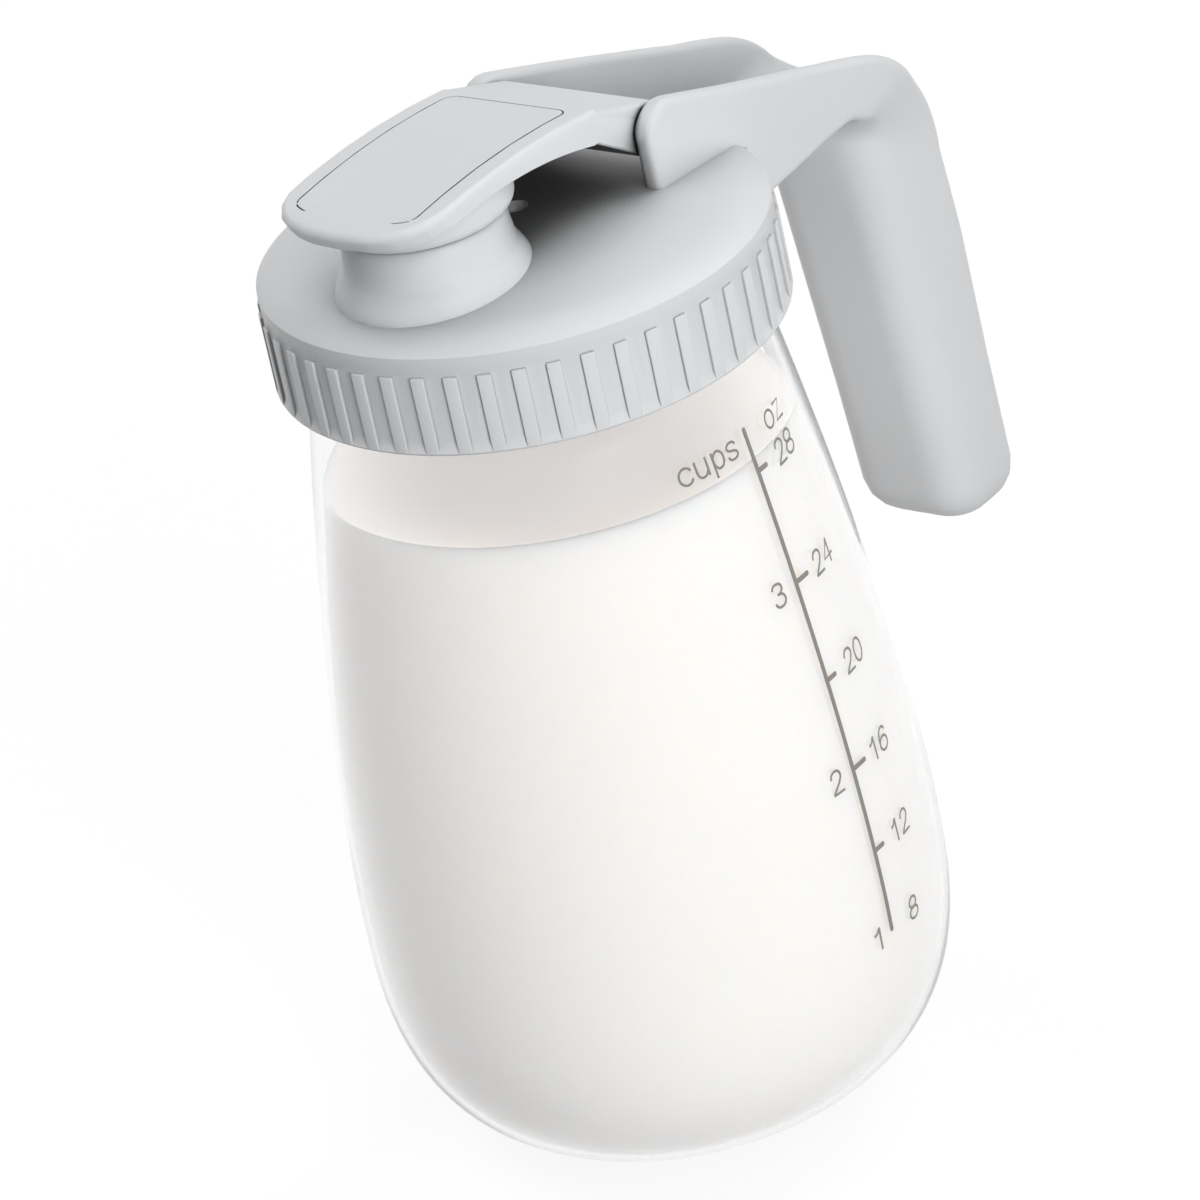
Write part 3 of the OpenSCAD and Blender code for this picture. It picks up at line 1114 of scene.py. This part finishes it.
@dataclass
class ScrewLid:
    """The lid with its spout and grip ribs, and the gasket under it."""

    # Radius of the skirt between its ribs, and height of its lower edge
    skirt_r: float = 44.15
    skirt_z: float = 150.8
    # A rib's top, its width, how far it stands out, and the rounding of its edges
    rib_top: float = 165.3
    rib_w: float = 2.4
    rib_out: float = 0.54
    rib_edge: float = 0.16
    # How far a rib is let into the skirt, and how high its foot stands above the lower edge
    rib_root: float = 0.6
    rib_foot: float = 0.5
    rib_count: int = 48
    # Height of the flare round the lower edge, the rows of its curve, and how far it is let in
    lip_h: float = 2.6
    lip_rows: int = 6
    lip_root: float = 0.4
    # How far above the skirt the moulded ribs are pared off
    pare: float = 0.02
    steps: int = 384

    def shell(self) -> bmesh.types.BMesh:
        """The moulded shell without its ribs, which are pared off a little above the skirt."""
        shell = merged_copy("lid_shell")
        edge = self.skirt_r + self.pare
        under, over = self.skirt_z - 20.0, self.skirt_z + 60.0
        core = lathe([(0.0, under), (edge, under), (edge, over), (0.0, over)], self.steps)
        return overlap(shell, core)

    def ribs(self) -> bmesh.types.BMesh:
        """The grip ribs: square bars whose outer edges are finely rounded."""
        rib = bmesh.new()
        bmesh.ops.create_cube(rib, size=1.0)
        deep = self.rib_out + self.rib_root
        foot = self.skirt_z + self.rib_foot
        tall = self.rib_top - foot
        bmesh.ops.scale(rib, vec=(deep * MM, self.rib_w * MM, tall * MM), verts=rib.verts)
        outer = [
            e
            for e in rib.edges
            if all(v.co.x > 0 for v in e.verts) and any(v.co.z > 0 for v in e.verts)
        ]
        outer += [e for e in rib.edges if all(v.co.z > 0 for v in e.verts) and e not in outer]
        bmesh.ops.bevel(
            rib,
            geom=outer,
            offset=self.rib_edge * MM,
            offset_type="OFFSET",
            affect="EDGES",
            segments=3,
            profile=0.5,
            material=-1,
        )
        middle = (self.skirt_r + self.rib_out - deep / 2, 0.0, foot + tall / 2)
        bmesh.ops.translate(rib, vec=Vector(middle) * MM, verts=rib.verts)
        first = rib.verts[:] + rib.edges[:] + rib.faces[:]
        for k in range(1, self.rib_count):
            copy = bmesh.ops.duplicate(rib, geom=first)["geom"]
            turn = Matrix.Rotation(math.tau * k / self.rib_count, 3, "Z")
            moved = [v for v in copy if isinstance(v, bmesh.types.BMVert)]
            bmesh.ops.rotate(rib, verts=moved, cent=(0, 0, 0), matrix=turn)
        return rib

    def lip(self) -> bmesh.types.BMesh:
        """The flare round the lower edge of the skirt, into which the ribs fade."""
        low, out = self.skirt_z, self.skirt_r + self.rib_out - 0.02
        inner = self.skirt_r - self.lip_root
        section = [(inner, low), (out - 0.36, low), (out - 0.08, low + 0.24)]
        section += [(out, low + self.rib_foot)]
        for k in range(1, self.lip_rows + 1):
            fall = 1 - k / self.lip_rows
            rise = low + self.rib_foot + (self.lip_h - self.rib_foot) * k / self.lip_rows
            section.append((self.skirt_r - 0.01 + (self.rib_out - 0.01) * fall**2, rise))
        section += [(inner, low + self.lip_h), section[0]]
        return lathe(section, self.steps)

    def build(self, shop: Workshop) -> None:
        """Builds the shell, the ribs and the lip, and dresses the gasket."""
        shop.place(
            self.shell(), "lid_moulding", Body.LID, Slot.PLASTIC, LID_PLASTIC, "lid_shell"
        )
        shop.place(self.ribs(), "lid_grip_ribs", Body.LID, Slot.PLASTIC, LID_PLASTIC)
        shop.place(self.lip(), "lid_lower_lip", Body.LID, Slot.PLASTIC, LID_PLASTIC)
        shop.dress("lid_gasket", GASKET_RUBBER)


class ForkHandle:
    """The fork handle with its grip, and the pin in its ears."""

    def build(self, shop: Workshop) -> None:
        """Builds the handle and dresses the pin."""
        fork = merged_copy("handle")
        shop.place(fork, "handle_moulding", Body.LID, Slot.PLASTIC, LID_PLASTIC, "handle")
        shop.dress("hinge_pin", PIN_METAL)


class FlipCap:
    """The cap over the spout, with its inset panel and its stopper."""

    def build(self, shop: Workshop) -> None:
        """Builds the cap, the panel and the stopper."""
        cap = merged_copy("flip_cap")
        shop.place(cap, "cap_moulding", Body.CAP, Slot.PLASTIC, CAP_PLASTIC, "flip_cap")
        panel = merged_copy("cap_panel")
        shop.place(panel, "panel_moulding", Body.CAP, Slot.PANEL, PANEL_PLASTIC, "cap_panel")
        plug = merged_copy("spout_stopper")
        shop.place(
            plug, "stopper_moulding", Body.CAP, Slot.STOPPER, STOPPER_RUBBER, "spout_stopper"
        )


@dataclass(frozen=True)
class SoftBox:
    """A square studio lamp that faces the jug."""

    name: str
    # Its place in metres, and the length of its side
    place: tuple[float, float, float]
    side: float
    # Brightness that it gives a white surface that faces it, 1 for white
    level: float
    # The middle of the jug, in metres, at which it points
    target: tuple[float, float, float] = (0.0, 0.0, 0.1)

    def build(self) -> None:
        """Hangs the lamp, unseen in the glass and in reflections."""
        data = bpy.data.lights.new(self.name, "AREA")
        data.shape = "SQUARE"
        data.size = self.side
        aim = Vector(self.target) - Vector(self.place)
        data.energy = self.level * math.pi**2 * aim.length_squared
        lamp = bpy.data.objects.new(self.name, data)
        lamp.visible_transmission = False
        lamp.visible_glossy = False
        turn = aim.to_track_quat("-Z", "Y").to_matrix().to_4x4()
        lamp.matrix_world = Matrix.Translation(self.place) @ turn
        bpy.context.scene.collection.objects.link(lamp)


@dataclass
class Studio:
    """Floor, lamps, world and camera."""

    eye_mm: tuple[float, float, float] = (-881.187, -807.459, 714.347)
    right: tuple[float, float, float] = (0.58640471, -0.78716811, -0.19103897)
    down: tuple[float, float, float] = (-0.47543376, -0.14352916, -0.86796436)
    forward: tuple[float, float, float] = (0.6558142, 0.59980476, -0.45841246)
    focal_mm: float = 234.168
    # Level of the world as a lamp
    ambient: float = 0.08
    # What the table throws back of the lamps' light, and what it adds for the eye
    table_grey: float = 0.2
    table_glow: float = 0.85
    # Half of the table's side in metres, and the gap that keeps it clear of the jug
    table_reach: float = 4.0
    table_gap_mm: float = 0.5
    lamps: tuple[SoftBox, ...] = (
        SoftBox("key_box", (-0.62, -1.33, 0.41), 0.8, 0.7),
        SoftBox("front_box", (-0.46, -1.14, 0.96), 0.8, 0.18),
        SoftBox("rear_box", (1.09, -0.29, 1.23), 1.0, 0.41),
        SoftBox("top_box", (-0.4, 0.69, 1.49), 1.0, 0.37),
        SoftBox("back_box", (0.2, 1.5, 0.22), 1.0, 0.25),
    )

    def camera(self) -> None:
        """Stands the camera where the photograph was taken from."""
        data = bpy.data.cameras.new("photo_camera")
        data.lens = self.focal_mm
        data.sensor_width = 36.0
        data.sensor_fit = "HORIZONTAL"
        data.clip_start = 0.05
        data.clip_end = 50.0
        camera = bpy.data.objects.new("photo_camera", data)
        x, y, z = Vector(self.right), -Vector(self.down), -Vector(self.forward)
        turn = Matrix((x, y, z)).transposed().to_4x4()
        camera.matrix_world = Matrix.Translation(Vector(self.eye_mm) * MM) @ turn
        bpy.context.scene.collection.objects.link(camera)
        bpy.context.scene.camera = camera

    def seen_rays(self, tree: bpy.types.NodeTree) -> bpy.types.NodeSocket:
        """1 for rays of the eye, of reflections and of light seen through glass, else 0."""
        path = add_node(tree, "ShaderNodeLightPath")
        first = add_node(
            tree,
            "ShaderNodeMath",
            {"operation": "LESS_THAN"},
            {0: path.outputs["Diffuse Depth"], 1: 0.5},
        )
        direct = add_node(
            tree,
            "ShaderNodeMath",
            {"operation": "MAXIMUM"},
            {0: path.outputs["Is Camera Ray"], 1: path.outputs["Is Transmission Ray"]},
        )
        either = add_node(
            tree,
            "ShaderNodeMath",
            {"operation": "MAXIMUM"},
            {0: direct.outputs[0], 1: path.outputs["Is Glossy Ray"]},
        )
        seen = add_node(
            tree,
            "ShaderNodeMath",
            {"operation": "MULTIPLY"},
            {0: either.outputs[0], 1: first.outputs[0]},
        )
        return seen.outputs[0]

    def background(self) -> None:
        """White for the eye, for reflections and through glass, dimmer as a lamp."""
        world = bpy.data.worlds.new("studio_world")
        world.use_nodes = True
        tree = world.node_tree
        tree.nodes.clear()
        seen = self.seen_rays(tree)
        level = add_node(
            tree,
            "ShaderNodeMapRange",
            inputs={"Value": seen, "To Min": self.ambient, "To Max": 1.0},
        )
        sky = add_node(
            tree,
            "ShaderNodeBackground",
            inputs={"Color": linear("#FFFFFF"), "Strength": level.outputs["Result"]},
        )
        out = add_node(tree, "ShaderNodeOutputWorld")
        tree.links.new(sky.outputs[0], out.inputs["Surface"])
        bpy.context.scene.world = world

    def floor(self) -> None:
        """A white table under the jug that keeps its shadow."""
        mesh = bmesh.new()
        bmesh.ops.create_grid(mesh, x_segments=1, y_segments=1, size=self.table_reach)
        data = bpy.data.meshes.new("studio_floor")
        mesh.to_mesh(data)
        mesh.free()
        material, tree, out = new_material("paper_white")
        grey = (self.table_grey, self.table_grey, self.table_grey, 1.0)
        paper = add_node(tree, "ShaderNodeBsdfDiffuse", inputs={"Color": grey})
        seen = self.seen_rays(tree)
        lift = add_node(
            tree,
            "ShaderNodeMath",
            {"operation": "MULTIPLY"},
            {0: seen, 1: self.table_glow},
        )
        glow = add_node(
            tree,
            "ShaderNodeEmission",
            inputs={"Color": linear("#FFFFFF"), "Strength": lift.outputs[0]},
        )
        both = add_node(
            tree, "ShaderNodeAddShader", inputs={0: paper.outputs[0], 1: glow.outputs[0]}
        )
        tree.links.new(both.outputs[0], out.inputs["Surface"])
        data.materials.append(material)
        table = bpy.data.objects.new("studio_floor", data)
        table.location.z = -self.table_gap_mm * MM
        bpy.context.scene.collection.objects.link(table)

    def build(self) -> None:
        """Sets the stage."""
        self.camera()
        self.background()
        self.floor()
        for lamp in self.lamps:
            lamp.build()
        bpy.context.scene.view_settings.view_transform = "Standard"


def main() -> None:
    """Builds every sub-assembly and the studio."""
    logging.basicConfig(level=logging.INFO, format="%(name)s: %(message)s")
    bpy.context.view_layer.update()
    shop = Workshop()
    jar = GlassJar()
    jar.build(shop)
    MeasuringScale(jar).build(shop)
    ScrewLid().build(shop)
    ForkHandle().build(shop)
    FlipCap().build(shop)
    Studio().build()
    LOG.info("%d pieces made", shop.count)


if __name__ == "__main__":
    main()
